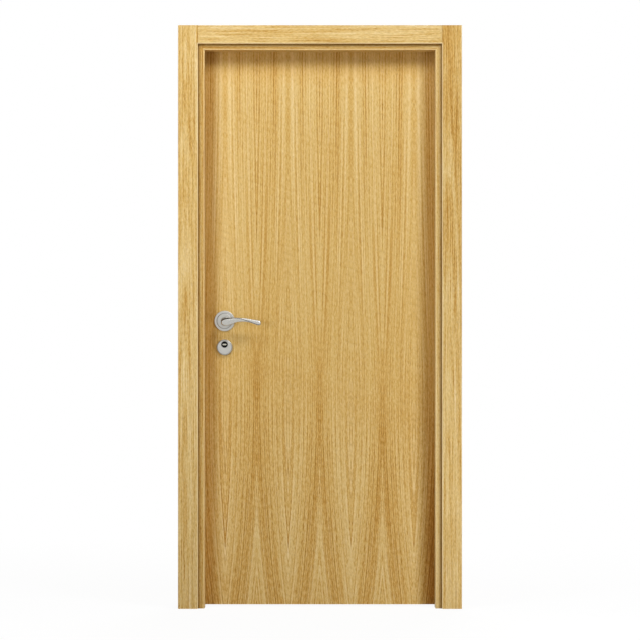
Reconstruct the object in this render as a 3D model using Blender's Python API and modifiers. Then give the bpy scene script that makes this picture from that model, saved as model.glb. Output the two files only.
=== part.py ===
"""Prehung interior door: rebated lining, oak veneered leaf, flat casings, butt hinges and lever set.

Units are metres, +Z up. X runs along the wall and +Y points to the side that the leaf opens to.
The origin is on the wall face of the hinge jamb, at the finished floor and midway through the wall.
"""
import math

import bmesh
import bpy
from mathutils import Matrix, Vector

# Lining
CLEAR_WIDTH = 0.814
CLEAR_HEIGHT = 1.969
JAMB_DEPTH = 0.100
JAMB_THICKNESS = 0.040
REBATE_STEP = 0.015
ARRIS = 0.0012

# Casings
CASING_WIDTH = 0.070
HEAD_CASING_WIDTH = 0.065
CASING_THICKNESS = 0.010
SIDE_MARGIN = 0.023
HEAD_MARGIN = 0.021
CASING_ROUND = 0.0018
ROUND_STEPS = 3

# Leaf and its running gaps
LEAF_THICKNESS = 0.040
SKIN_THICKNESS = 0.004
LIPPING_THICKNESS = 0.012
STOP_GAP = 0.005
HINGE_GAP = 0.005
LOCK_GAP = 0.0065
HEAD_GAP = 0.005
FLOOR_GAP = 0.007

# Rubber seal on the stop
SEAL_WIDTH = 0.008
SEAL_HEIGHT = 0.0035
SEAL_INSET = 0.003
SEAL_STEPS = 6

# Butt hinges
HINGE_HEIGHT = 0.100
HINGE_PLATE_WIDTH = 0.030
HINGE_PLATE_THICKNESS = 0.003
HINGE_KNUCKLES = 5
PIN_RADIUS = 0.0025
PIN_CLEARANCE = 0.0002
PIN_HEAD_RADIUS = 0.0045
PIN_HEAD_HEIGHT = 0.003
PIN_STANDOFF = 0.0075
KNUCKLE_GAP = 0.0004
KNUCKLE_SIDES = 24
HINGE_TOP_INSET = 0.150
HINGE_BOTTOM_INSET = 0.225

# Lever set, from the leaf's lock edge and the floor
BACKSET = 0.0765
LEVER_HEIGHT = 1.0135
ROSE_RADIUS = 0.0365
ROSE_FLANGE = 0.005
ROSE_DISC_RADIUS = 0.0265
ROSE_THICKNESS = 0.009
ROSE_ROUND = 0.0015
ROSE_SIDES = 48
NECK_RADIUS = 0.010
NECK_CLEARANCE = 0.0004
LEVER_PROJECTION = 0.046
LEVER_REACH = 0.130
LEVER_END_ROUND = 0.002
GRIP_RADIUS = 0.0068
SPINDLE_SIZE = 0.008
SPINDLE_BORE_RADIUS = 0.009

# Key rose and cylinder
KEY_ROSE_DROP = 0.0935
KEY_ROSE_RADIUS = 0.028
KEY_ROSE_THICKNESS = 0.008
CYLINDER_DROP = 0.0835
CYLINDER_RADIUS = 0.0112
CYLINDER_PROUD = 0.0008

# Mortice lock edge and strike
FACEPLATE_WIDTH = 0.022
FACEPLATE_HEIGHT = 0.235
FACEPLATE_THICKNESS = 0.003
FACEPLATE_DROP = 0.040
LATCH_HEIGHT = 0.020
LATCH_WIDTH = 0.013
DEAD_BOLT_HEIGHT = 0.030
DEAD_BOLT_WIDTH = 0.012
BOLT_LENGTH = 0.030
STRIKE_WIDTH = 0.024
STRIKE_THICKNESS = 0.002
STRIKE_HOLE_EXTRA = 0.004
STRIKE_POCKET_DEPTH = 0.014

# Space that touching pieces keep, and how far a cutter passes a face
FIT = 0.0003
PASS = 0.002

# Worked out from the sizes above
HALF_CLEAR = CLEAR_WIDTH / 2
CENTRE_X = -(HALF_CLEAR + JAMB_THICKNESS)
FRONT_Y = -JAMB_DEPTH / 2
BACK_Y = JAMB_DEPTH / 2
LEAF_FRONT_Y = BACK_Y - LEAF_THICKNESS
LEAF_MID_Y = BACK_Y - LEAF_THICKNESS / 2
STOP_BACK_Y = LEAF_FRONT_Y - STOP_GAP
REBATE_HALF = HALF_CLEAR + REBATE_STEP
HEAD_REBATE_Z = CLEAR_HEIGHT + REBATE_STEP
LEAF_HINGE_X = CENTRE_X + REBATE_HALF - HINGE_GAP
LEAF_LOCK_X = CENTRE_X - REBATE_HALF + LOCK_GAP
LEAF_TOP_Z = HEAD_REBATE_Z - HEAD_GAP
PIN_X = LEAF_HINGE_X + HINGE_GAP / 2
PIN_Y = BACK_Y + PIN_STANDOFF
KNUCKLE_RADIUS = HINGE_GAP / 2 + HINGE_PLATE_THICKNESS
LEVER_X = LEAF_LOCK_X + BACKSET
LEVER_END = LEVER_REACH - LEVER_END_ROUND
CYLINDER_Z = LEVER_HEIGHT - CYLINDER_DROP
KEY_ROSE_Z = LEVER_HEIGHT - KEY_ROSE_DROP
FACEPLATE_Z = LEVER_HEIGHT - FACEPLATE_DROP

# The lever's middle line: distance along the leaf, share of the projection, rise above the rose, radius
LEVER_STATIONS = (
    (0.0, 0.0, 0.0, NECK_RADIUS),
    (0.0, 0.35, 0.0, NECK_RADIUS),
    (0.003, 0.75, -0.002, 1.1 * NECK_RADIUS),
    (0.014, 0.97, 0.0, 1.02 * NECK_RADIUS),
    (0.032, 1.0, 0.004, 1.12 * GRIP_RADIUS),
    (0.055, 1.0, 0.005, GRIP_RADIUS),
    (0.080, 1.0, 0.0025, 0.9 * GRIP_RADIUS),
    (0.105, 1.0, -0.0035, 1.05 * GRIP_RADIUS),
    (0.122, 1.0, -0.007, 1.25 * GRIP_RADIUS),
    (LEVER_END, 1.0, -0.008, 1.15 * GRIP_RADIUS),
    (LEVER_REACH, 1.0, -0.008, 0.6 * GRIP_RADIUS),
)


def clear_scene():
    for old in list(bpy.data.objects):
        bpy.data.objects.remove(old, do_unlink=True)


def collection(name):
    group = bpy.data.collections.new(name)
    bpy.context.scene.collection.children.link(group)
    return group


def material(name, colour, roughness, metallic=0.0):
    made = bpy.data.materials.new(name)
    made.use_nodes = True
    shader = made.node_tree.nodes["Principled BSDF"]
    shader.inputs["Base Color"].default_value = (*colour, 1.0)
    shader.inputs["Roughness"].default_value = roughness
    shader.inputs["Metallic"].default_value = metallic
    return made


def move_to(obj, group):
    for holder in list(obj.users_collection):
        holder.objects.unlink(obj)
    group.objects.link(obj)


def finish(obj, name, finish_material, parent):
    """Name a piece, give it its material and hang it on the empty that carries it."""
    obj.name = name
    obj.data.name = name
    obj.data.materials.clear()
    obj.data.materials.append(finish_material)
    move_to(obj, DOOR)
    obj.parent = parent
    obj.matrix_parent_inverse = parent.matrix_world.inverted()
    return obj


def carrier(name, place, parent=None):
    empty = bpy.data.objects.new(name, None)
    empty.empty_display_size = 0.1
    DOOR.objects.link(empty)
    empty.location = place
    bpy.context.view_layer.update()
    if parent:
        empty.parent = parent
        empty.matrix_parent_inverse = parent.matrix_world.inverted()
    return empty


def box(low, high):
    """A cube primitive stretched between two corners, with its scale applied."""
    size = [top - bottom for bottom, top in zip(low, high)]
    centre = [(top + bottom) / 2 for bottom, top in zip(low, high)]
    bpy.ops.mesh.primitive_cube_add(size=1.0, location=centre)
    made = bpy.context.object
    made.data.transform(Matrix.Diagonal((*size, 1.0)))
    return made


def cylinder(centre, radius, length, axis, sides=KNUCKLE_SIDES):
    """A cylinder primitive along Y or Z."""
    turn = (math.pi / 2, 0, 0) if axis == "Y" else (0, 0, 0)
    bpy.ops.mesh.primitive_cylinder_add(
        vertices=sides, radius=radius, depth=length, location=centre, rotation=turn
    )
    return bpy.context.object


def cut(target, cutter, operation="DIFFERENCE"):
    """Cut a shape out of a piece, or join one to it, with an exact Boolean that stays live."""
    cutter.name = "tool_for_" + target.name
    cutter.hide_render = True
    cutter.display_type = "WIRE"
    move_to(cutter, TOOLS)
    step = target.modifiers.new(operation.lower(), "BOOLEAN")
    step.operation = operation
    step.solver = "EXACT"
    step.object = cutter


def extrusion(outline, length, matrix):
    """A flat outline as a filled 2D curve with thickness, turned into a welded mesh."""
    curve = bpy.data.curves.new("outline", "CURVE")
    curve.dimensions = "2D"
    curve.fill_mode = "BOTH"
    curve.extrude = length / 2
    spline = curve.splines.new("POLY")
    spline.points.add(len(outline) - 1)
    for point, (across, along) in zip(spline.points, outline):
        point.co = (across, along, 0, 1)
    spline.use_cyclic_u = True
    holder = bpy.data.objects.new("outline", curve)
    bpy.context.scene.collection.objects.link(holder)
    holder.matrix_world = matrix
    bpy.context.view_layer.update()
    return mesh_from(holder)


def mesh_from(holder):
    """Replace a curve object by a mesh object of the same shape with welded caps."""
    graph = bpy.context.evaluated_depsgraph_get()
    mesh = bpy.data.meshes.new_from_object(holder.evaluated_get(graph))
    body = bmesh.new()
    body.from_mesh(mesh)
    bmesh.ops.remove_doubles(body, verts=body.verts, dist=0.00001)
    bmesh.ops.recalc_face_normals(body, faces=body.faces)
    body.to_mesh(mesh)
    body.free()
    made = bpy.data.objects.new("solid", mesh)
    bpy.context.scene.collection.objects.link(made)
    made.matrix_world = holder.matrix_world
    bpy.data.objects.remove(holder, do_unlink=True)
    return made


def turned(profile, place, facing, ring_shaped):
    """A (radius, height) profile spun round an axis that points to the front or the back."""
    mesh = bpy.data.meshes.new("profile")
    body = bmesh.new()
    points = [body.verts.new((radius, 0, height)) for radius, height in profile]
    for upper, lower in zip(points, points[1:]):
        body.edges.new((upper, lower))
    if ring_shaped:
        body.edges.new((points[-1], points[0]))
    body.to_mesh(mesh)
    body.free()
    made = bpy.data.objects.new("turned", mesh)
    bpy.context.scene.collection.objects.link(made)
    made.location = place
    made.rotation_euler = (-facing * math.pi / 2, 0, 0)
    spin = made.modifiers.new("spin", "SCREW")
    spin.axis = "Z"
    spin.steps = ROSE_SIDES
    spin.render_steps = ROSE_SIDES
    spin.use_merge_vertices = True
    spin.merge_threshold = 0.00001
    return made


def slice_off(made, point, normal):
    """Cut a solid with a plane, drop the side that the normal points to and close the cut."""
    inverse = made.matrix_world.inverted()
    body = bmesh.new()
    body.from_mesh(made.data)
    bmesh.ops.bisect_plane(
        body,
        geom=body.verts[:] + body.edges[:] + body.faces[:],
        plane_co=inverse @ Vector(point),
        plane_no=inverse.to_3x3() @ Vector(normal),
        clear_outer=True,
    )
    rim = [edge for edge in body.edges if edge.is_boundary]
    bmesh.ops.holes_fill(body, edges=rim)
    bmesh.ops.recalc_face_normals(body, faces=body.faces)
    body.to_mesh(made.data)
    body.free()


def upright(side):
    """Places an outline drawn as (out from the centre line, depth) beside the opening."""
    return Matrix.Translation((CENTRE_X, 0, 0)) @ Matrix.Diagonal((side, 1, 1, 1))


def level():
    """Places an outline drawn as (height, depth) across the head of the opening."""
    return Matrix.Translation((CENTRE_X, 0, 0)) @ Matrix.Rotation(-math.pi / 2, 4, "Y")


def lining_outline(inner):
    """The rebated section: stop in front, thinner part behind, small chamfers on its arrises."""
    step = inner + REBATE_STEP
    outer = inner + JAMB_THICKNESS
    return [
        (inner + ARRIS, FRONT_Y),
        (outer, FRONT_Y),
        (outer, BACK_Y),
        (step + ARRIS, BACK_Y),
        (step, BACK_Y - ARRIS),
        (step, STOP_BACK_Y),
        (inner + ARRIS, STOP_BACK_Y),
        (inner, STOP_BACK_Y - ARRIS),
        (inner, FRONT_Y + ARRIS),
    ]


def casing_outline(inner, width, wall_y, face_y):
    """A flat board against the wall with rounded long edges on its face."""
    out = math.copysign(1.0, face_y - wall_y)
    outer = inner + width
    quarter = [math.pi / 2 * step / ROUND_STEPS for step in range(ROUND_STEPS + 1)]
    near = [
        (inner + CASING_ROUND * (1 - math.cos(turn)), face_y - out * CASING_ROUND * (1 - math.sin(turn)))
        for turn in quarter
    ]
    far = [
        (outer - CASING_ROUND * (1 - math.sin(turn)), face_y - out * CASING_ROUND * (1 - math.cos(turn)))
        for turn in quarter
    ]
    return [(inner, wall_y)] + near + far + [(outer, wall_y)]


def seal_outline(inner):
    """A D-shaped bulb on the back of the stop."""
    middle = inner + SEAL_INSET + SEAL_WIDTH / 2
    base = STOP_BACK_Y + FIT
    turns = [math.pi * step / SEAL_STEPS for step in range(SEAL_STEPS + 1)]
    return [
        (middle - SEAL_WIDTH / 2 * math.cos(turn), base + SEAL_HEIGHT * math.sin(turn)) for turn in turns
    ]


def side_piece(outline, side, low, high):
    made = extrusion(outline, high - low, upright(side) @ Matrix.Translation((0, 0, (low + high) / 2)))
    made.data.transform(made.matrix_world)
    made.matrix_world = Matrix.Identity(4)
    if side < 0:
        made.data.flip_normals()
    return made


def head_piece(outline, half_length):
    made = extrusion(outline, 2 * half_length, level())
    made.data.transform(made.matrix_world)
    made.matrix_world = Matrix.Identity(4)
    return made


def mitre(made, side, keep_below):
    """Cut a lining piece along the 45 degree line from the opening's corner."""
    corner = Vector((CENTRE_X + side * HALF_CLEAR, 0, CLEAR_HEIGHT))
    across = Vector((-side, 0, 1)).normalized()
    normal = across if keep_below else -across
    slice_off(made, corner - normal * FIT / 2, normal)


def hinge_heights():
    top = LEAF_TOP_Z - HINGE_TOP_INSET - HINGE_HEIGHT / 2
    bottom = FLOOR_GAP + HINGE_BOTTOM_INSET + HINGE_HEIGHT / 2
    return {"top": top, "middle": (top + bottom) / 2, "bottom": bottom}


def build_lining():
    outer_top = CLEAR_HEIGHT + JAMB_THICKNESS
    for name, side in (("hinge_jamb", 1), ("strike_jamb", -1)):
        jamb = side_piece(lining_outline(HALF_CLEAR), side, 0, outer_top)
        mitre(jamb, side, keep_below=True)
        finish(jamb, name, OAK, FRAME)
    head = head_piece(lining_outline(CLEAR_HEIGHT), HALF_CLEAR + JAMB_THICKNESS)
    for side in (1, -1):
        mitre(head, side, keep_below=False)
    finish(head, "head_jamb", OAK, FRAME)


def build_seals():
    side_top = CLEAR_HEIGHT + SEAL_INSET - FIT
    for name, side in (("hinge_side_seal", 1), ("strike_side_seal", -1)):
        finish(side_piece(seal_outline(HALF_CLEAR), side, 0, side_top), name, RUBBER, FRAME)
    half_length = REBATE_HALF - FIT
    finish(head_piece(seal_outline(CLEAR_HEIGHT), half_length), "head_seal", RUBBER, FRAME)


def build_casings():
    inner = HALF_CLEAR + SIDE_MARGIN
    head_low = CLEAR_HEIGHT + HEAD_MARGIN
    top = head_low + HEAD_CASING_WIDTH
    faces = {
        "front": (FRONT_Y - FIT, FRONT_Y - FIT - CASING_THICKNESS),
        "back": (BACK_Y + FIT, BACK_Y + FIT + CASING_THICKNESS),
    }
    for face, (wall_y, face_y) in faces.items():
        for label, side in (("hinge_side", 1), ("strike_side", -1)):
            outline = casing_outline(inner, CASING_WIDTH, wall_y, face_y)
            finish(side_piece(outline, side, 0, top), f"{face}_{label}_casing", OAK, FRAME)
        outline = casing_outline(head_low, HEAD_CASING_WIDTH, wall_y, face_y)
        finish(head_piece(outline, inner - FIT), f"{face}_head_casing", OAK, FRAME)


def hinge_half(side, height, owns):
    """One half of a butt hinge: a plate let into the edge, and its share of the knuckles."""
    low = height - HINGE_HEIGHT / 2
    pitch = HINGE_HEIGHT / HINGE_KNUCKLES
    near = PIN_X + side * HINGE_GAP / 2
    far = near + side * HINGE_PLATE_THICKNESS
    left, right = min(near, far), max(near, far)
    plate_end = PIN_Y - KNUCKLE_RADIUS - KNUCKLE_GAP
    plate = box(
        (left, BACK_Y - HINGE_PLATE_WIDTH, low),
        (right, plate_end, low + HINGE_HEIGHT),
    )
    for index in range(HINGE_KNUCKLES):
        if index % 2 != owns:
            continue
        bottom = low + index * pitch + (KNUCKLE_GAP / 2 if index else 0)
        top = low + (index + 1) * pitch - (KNUCKLE_GAP / 2 if index < HINGE_KNUCKLES - 1 else 0)
        strap = box((left, plate_end - PASS, bottom), (right, PIN_Y, top))
        cut(plate, strap, "UNION")
        barrel = cylinder((PIN_X, PIN_Y, (bottom + top) / 2), KNUCKLE_RADIUS, top - bottom, "Z")
        cut(plate, barrel, "UNION")
    return plate


def build_hinges():
    """The jamb half holds the pin, and the leaf half runs on it."""
    jamb = bpy.data.objects["hinge_jamb"]
    lipping = bpy.data.objects["leaf_hinge_lipping"]
    skin = bpy.data.objects["leaf_back_skin"]
    for label, height in hinge_heights().items():
        low = height - HINGE_HEIGHT / 2
        fixed = hinge_half(1, height, 0)
        pin = cylinder((PIN_X, PIN_Y, height), PIN_RADIUS, HINGE_HEIGHT, "Z")
        cut(fixed, pin, "UNION")
        for end in (-1, 1):
            head_z = height + end * (HINGE_HEIGHT + PIN_HEAD_HEIGHT - FIT) / 2
            cap = cylinder((PIN_X, PIN_Y, head_z), PIN_HEAD_RADIUS, PIN_HEAD_HEIGHT + FIT, "Z")
            cut(fixed, cap, "UNION")
        finish(fixed, f"{label}_hinge_jamb_half", STEEL, FRAME)
        moving = hinge_half(-1, height, 1)
        hole = cylinder((PIN_X, PIN_Y, height), PIN_RADIUS + PIN_CLEARANCE, HINGE_HEIGHT + PASS, "Z")
        cut(moving, hole)
        finish(moving, f"{label}_hinge_leaf_half", STEEL, SWING)

        reach = HINGE_PLATE_WIDTH + FIT
        face = PIN_X + HINGE_GAP / 2
        pocket_low = (face - PASS, BACK_Y - reach, low - FIT)
        pocket_high = (face + HINGE_PLATE_THICKNESS + FIT, BACK_Y + PASS, low + HINGE_HEIGHT + FIT)
        cut(jamb, box(pocket_low, pocket_high))
        edge = PIN_X - HINGE_GAP / 2
        pocket_low = (edge - HINGE_PLATE_THICKNESS - FIT, BACK_Y - reach, low - FIT)
        pocket_high = (edge + PASS, BACK_Y + PASS, low + HINGE_HEIGHT + FIT)
        cut(lipping, box(pocket_low, pocket_high))
        cut(skin, box(pocket_low, pocket_high))


def build_leaf():
    inner_front = LEAF_FRONT_Y + SKIN_THICKNESS
    inner_back = BACK_Y - SKIN_THICKNESS
    skins = {
        "leaf_front_skin": (LEAF_FRONT_Y, inner_front - FIT / 2),
        "leaf_back_skin": (inner_back + FIT / 2, BACK_Y),
    }
    for name, (near, far) in skins.items():
        panel = box((LEAF_LOCK_X, near, FLOOR_GAP), (LEAF_HINGE_X, far, LEAF_TOP_Z))
        finish(panel, name, OAK, SWING)
    low_y = inner_front + FIT / 2
    high_y = inner_back - FIT / 2
    lock_inner = LEAF_LOCK_X + LIPPING_THICKNESS
    hinge_inner = LEAF_HINGE_X - LIPPING_THICKNESS
    strips = {
        "leaf_lock_lipping": (LEAF_LOCK_X, lock_inner - FIT, OAK),
        "leaf_hinge_lipping": (hinge_inner + FIT, LEAF_HINGE_X, OAK),
        "leaf_core": (lock_inner, hinge_inner, CORE),
    }
    for name, (left, right, look) in strips.items():
        strip = box((left, low_y, FLOOR_GAP), (right, high_y, LEAF_TOP_Z))
        finish(strip, name, look, SWING)


def build_lock():
    """Faceplate, latch and bolt in the leaf's edge, all flush, and the bores for lever and key."""
    lipping = bpy.data.objects["leaf_lock_lipping"]
    core = bpy.data.objects["leaf_core"]
    bolts = {
        "latch_bolt": (LEVER_HEIGHT, LATCH_WIDTH, LATCH_HEIGHT),
        "dead_bolt": (CYLINDER_Z, DEAD_BOLT_WIDTH, DEAD_BOLT_HEIGHT),
    }
    face_x = LEAF_LOCK_X
    half_width = FACEPLATE_WIDTH / 2
    half_height = FACEPLATE_HEIGHT / 2
    plate = box(
        (face_x, LEAF_MID_Y - half_width, FACEPLATE_Z - half_height),
        (face_x + FACEPLATE_THICKNESS, LEAF_MID_Y + half_width, FACEPLATE_Z + half_height),
    )
    finish(plate, "lock_faceplate", STEEL, SWING)
    seat = box(
        (face_x - PASS, LEAF_MID_Y - half_width - FIT, FACEPLATE_Z - half_height - FIT),
        (face_x + FACEPLATE_THICKNESS + FIT, LEAF_MID_Y + half_width + FIT, FACEPLATE_Z + half_height + FIT),
    )
    cut(lipping, seat)
    for name, (height, width, tall) in bolts.items():
        bolt = box(
            (face_x, LEAF_MID_Y - width / 2, height - tall / 2),
            (face_x + BOLT_LENGTH, LEAF_MID_Y + width / 2, height + tall / 2),
        )
        finish(bolt, name, STEEL, SWING)
        for piece in (plate, lipping, core):
            hole = box(
                (face_x - PASS, LEAF_MID_Y - width / 2 - FIT, height - tall / 2 - FIT),
                (face_x + BOLT_LENGTH + FIT, LEAF_MID_Y + width / 2 + FIT, height + tall / 2 + FIT),
            )
            cut(piece, hole)
    for name in ("leaf_core", "leaf_front_skin", "leaf_back_skin"):
        piece = bpy.data.objects[name]
        for height, radius in ((LEVER_HEIGHT, SPINDLE_BORE_RADIUS), (CYLINDER_Z, CYLINDER_RADIUS + FIT)):
            cut(piece, cylinder((LEVER_X, LEAF_MID_Y, height), radius, JAMB_DEPTH, "Y"))


def build_strike():
    """A flat plate let into the rebate, with a hole and a pocket for each bolt."""
    jamb = bpy.data.objects["strike_jamb"]
    face_x = CENTRE_X - REBATE_HALF
    half_width = STRIKE_WIDTH / 2
    half_height = FACEPLATE_HEIGHT / 2
    plate = box(
        (face_x - STRIKE_THICKNESS, LEAF_MID_Y - half_width, FACEPLATE_Z - half_height),
        (face_x, LEAF_MID_Y + half_width, FACEPLATE_Z + half_height),
    )
    finish(plate, "strike_plate", STEEL, FRAME)
    seat = box(
        (face_x - STRIKE_THICKNESS - FIT, LEAF_MID_Y - half_width - FIT, FACEPLATE_Z - half_height - FIT),
        (face_x + PASS, LEAF_MID_Y + half_width + FIT, FACEPLATE_Z + half_height + FIT),
    )
    cut(jamb, seat)
    holes = (
        (LEVER_HEIGHT, LATCH_WIDTH + STRIKE_HOLE_EXTRA, LATCH_HEIGHT + STRIKE_HOLE_EXTRA),
        (CYLINDER_Z, DEAD_BOLT_WIDTH + STRIKE_HOLE_EXTRA, DEAD_BOLT_HEIGHT + STRIKE_HOLE_EXTRA),
    )
    for height, width, tall in holes:
        for piece in (plate, jamb):
            pocket = box(
                (face_x - STRIKE_POCKET_DEPTH, LEAF_MID_Y - width / 2, height - tall / 2),
                (face_x + PASS, LEAF_MID_Y + width / 2, height + tall / 2),
            )
            cut(piece, pocket)


def lever_rose_profile():
    """Stepped rose with a bore for the lever's neck, from the inside of the face outwards."""
    bore = NECK_RADIUS + NECK_CLEARANCE
    return [
        (bore, ROSE_THICKNESS),
        (ROSE_DISC_RADIUS - ROSE_ROUND, ROSE_THICKNESS),
        (ROSE_DISC_RADIUS, ROSE_THICKNESS - ROSE_ROUND),
        (ROSE_DISC_RADIUS, ROSE_FLANGE),
        (ROSE_RADIUS - ROSE_ROUND, ROSE_FLANGE),
        (ROSE_RADIUS, ROSE_FLANGE - ROSE_ROUND),
        (ROSE_RADIUS, 0),
        (bore, 0),
    ]


def key_rose_profile():
    """Plain disc with an eased rim, from the middle of its face to the middle of its back."""
    return [
        (0, KEY_ROSE_THICKNESS),
        (KEY_ROSE_RADIUS - ROSE_ROUND, KEY_ROSE_THICKNESS),
        (KEY_ROSE_RADIUS, KEY_ROSE_THICKNESS - ROSE_ROUND),
        (KEY_ROSE_RADIUS, 0),
        (0, 0),
    ]


def lever_path(facing):
    """Points and radii from the rose out along the neck and over to the flared tip."""
    root = (LEAF_FRONT_Y if facing < 0 else BACK_Y) + facing * ROSE_FLANGE / 2
    out = LEVER_PROJECTION - ROSE_FLANGE / 2
    return [
        ((LEVER_X + along, root + facing * share * out, LEVER_HEIGHT + rise), radius)
        for along, share, rise, radius in LEVER_STATIONS
    ]


def lever(facing):
    """A swept lever: neck out of the rose, a bend, a slim grip and a flared tip."""
    curve = bpy.data.curves.new("lever", "CURVE")
    curve.dimensions = "3D"
    curve.bevel_depth = 1.0
    curve.bevel_resolution = 4
    curve.resolution_u = 4
    curve.use_fill_caps = True
    spline = curve.splines.new("NURBS")
    path = lever_path(facing)
    spline.points.add(len(path) - 1)
    for point, (place, radius) in zip(spline.points, path):
        point.co = (*place, 1)
        point.radius = radius
    spline.order_u = 3
    spline.use_endpoint_u = True
    holder = bpy.data.objects.new("lever", curve)
    bpy.context.scene.collection.objects.link(holder)
    bpy.context.view_layer.update()
    return mesh_from(holder)


def build_furniture():
    sides = {"front": (-1, LEAF_FRONT_Y), "back": (1, BACK_Y)}
    for label, (facing, surface) in sides.items():
        seat = surface + facing * FIT
        rose = turned(lever_rose_profile(), (LEVER_X, seat, LEVER_HEIGHT), facing, True)
        finish(rose, f"{label}_lever_rose", NICKEL, SWING)
        key_rose = turned(key_rose_profile(), (LEVER_X, seat, KEY_ROSE_Z), facing, False)
        bore = cylinder((LEVER_X, surface, CYLINDER_Z), CYLINDER_RADIUS + FIT, JAMB_DEPTH / 2, "Y")
        cut(key_rose, bore)
        finish(key_rose, f"{label}_key_rose", NICKEL, SWING)
        finish(lever(facing), f"{label}_lever", NICKEL, TURN)
    key_length = LEAF_THICKNESS + 2 * (FIT + KEY_ROSE_THICKNESS + CYLINDER_PROUD)
    barrel = cylinder((LEVER_X, LEAF_MID_Y, CYLINDER_Z), CYLINDER_RADIUS, key_length, "Y")
    finish(barrel, "key_cylinder", BLACK, SWING)
    half_spindle = LEAF_THICKNESS / 2 + ROSE_FLANGE / 2 - FIT
    half = SPINDLE_SIZE / 2
    bar = box(
        (LEVER_X - half, LEAF_MID_Y - half_spindle, LEVER_HEIGHT - half),
        (LEVER_X + half, LEAF_MID_Y + half_spindle, LEVER_HEIGHT + half),
    )
    finish(bar, "lever_spindle", STEEL, TURN)


clear_scene()
DOOR = collection("prehung_interior_door")
TOOLS = collection("cutting_tools")
OAK = material("oak_veneer", (0.62, 0.42, 0.17), 0.45)
CORE = material("chipboard_core", (0.55, 0.43, 0.27), 0.8)
RUBBER = material("seal_rubber", (0.05, 0.04, 0.035), 0.7)
STEEL = material("satin_steel", (0.6, 0.59, 0.57), 0.35, 1.0)
NICKEL = material("satin_nickel", (0.62, 0.61, 0.58), 0.3, 1.0)
BLACK = material("black_cylinder", (0.02, 0.02, 0.02), 0.4)
FRAME = carrier("door_frame", (CENTRE_X, 0, 0))
SWING = carrier("leaf_swing_axis", (PIN_X, PIN_Y, 0), FRAME)
TURN = carrier("lever_turn_axis", (LEVER_X, LEAF_MID_Y, LEVER_HEIGHT), SWING)
build_lining()
build_seals()
build_casings()
build_leaf()
build_lock()
build_strike()
build_hinges()
build_furniture()
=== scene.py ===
"""Looks of a veneered oak door set: its finishes, its furniture in detail, and the light it stands in."""
from collections import namedtuple
from math import cos, pi, radians, sin

import bmesh
import bpy
from mathutils import Matrix, Vector


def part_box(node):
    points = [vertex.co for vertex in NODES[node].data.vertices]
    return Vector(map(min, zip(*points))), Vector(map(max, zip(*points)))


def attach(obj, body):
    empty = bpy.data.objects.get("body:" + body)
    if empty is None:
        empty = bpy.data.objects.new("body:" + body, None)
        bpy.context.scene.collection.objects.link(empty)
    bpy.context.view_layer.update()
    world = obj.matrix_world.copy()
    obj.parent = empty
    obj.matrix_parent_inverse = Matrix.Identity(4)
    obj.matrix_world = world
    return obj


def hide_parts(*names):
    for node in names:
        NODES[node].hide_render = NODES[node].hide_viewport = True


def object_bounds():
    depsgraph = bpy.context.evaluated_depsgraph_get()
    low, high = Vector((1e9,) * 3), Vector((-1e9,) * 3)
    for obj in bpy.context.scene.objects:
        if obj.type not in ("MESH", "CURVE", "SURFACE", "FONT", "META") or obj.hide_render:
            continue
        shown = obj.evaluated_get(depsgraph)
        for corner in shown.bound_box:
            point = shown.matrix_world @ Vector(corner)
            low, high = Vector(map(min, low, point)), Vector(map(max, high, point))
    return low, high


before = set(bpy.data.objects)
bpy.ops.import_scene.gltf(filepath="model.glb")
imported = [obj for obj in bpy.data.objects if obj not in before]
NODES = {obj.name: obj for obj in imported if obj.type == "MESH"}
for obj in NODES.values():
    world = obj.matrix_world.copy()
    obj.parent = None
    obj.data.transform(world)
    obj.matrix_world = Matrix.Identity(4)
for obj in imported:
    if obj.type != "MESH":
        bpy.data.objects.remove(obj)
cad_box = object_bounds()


def middle_of(name):
    """The middle of a node's box as seen from the front."""
    low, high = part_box(name)
    return Vector(((low.x + high.x) / 2.0, 0.0, (low.z + high.z) / 2.0))


# Door: where the parts of the frame that carry detail are, in metres
DOOR_CENTRE = (cad_box[0].x + cad_box[1].x) / 2.0
LEVER_AXIS = middle_of("front_lever_rose")
KEY_CENTRE = middle_of("front_key_rose")
CYLINDER_CENTRE = middle_of("key_cylinder")
LEAF_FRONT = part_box("leaf_front_skin")[0].y
LEAF_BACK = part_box("leaf_back_skin")[1].y

# Frame: half widths and heights of the casings' inner edge and of the stop's arris, and how far out faces lie
CASING_HALF_WIDTH = DOOR_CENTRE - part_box("front_strike_side_casing")[1].x
CASING_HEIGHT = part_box("front_head_casing")[0].z
STOP_HALF_WIDTH = DOOR_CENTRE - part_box("strike_jamb")[1].x
STOP_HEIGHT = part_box("head_jamb")[0].z
LINING_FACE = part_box("head_jamb")[1].y
CASING_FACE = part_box("back_head_casing")[1].y

# Leaf veneer: strips laid as mirrored pairs. Their growth rings slant away from the seams by a spread times
# the square of a distance: below the waist it is the depth under the waist, and above it the depth under
# the height where the slant turns. The waist is softened, and above it the fibres lean less than the rings
STRIP_WIDTH = 0.1118
PAIR_WIDTH = 2.0 * STRIP_WIDTH
FIRST_SEAM = -0.784
WAIST_HEIGHT = 0.75
WAIST_SOFTNESS = 0.006
LOWER_SPREAD = 0.078
UPPER_SPREAD = 0.0319
UPPER_SHIFT = 0.0505
UPPER_TURN = 2.10
FIBRE_LEAN = 0.5
FIBRE_LENGTH = 4.5
STRIP_STAGGER = 0.35
FIGURE_WIDTH = 0.161

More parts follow.
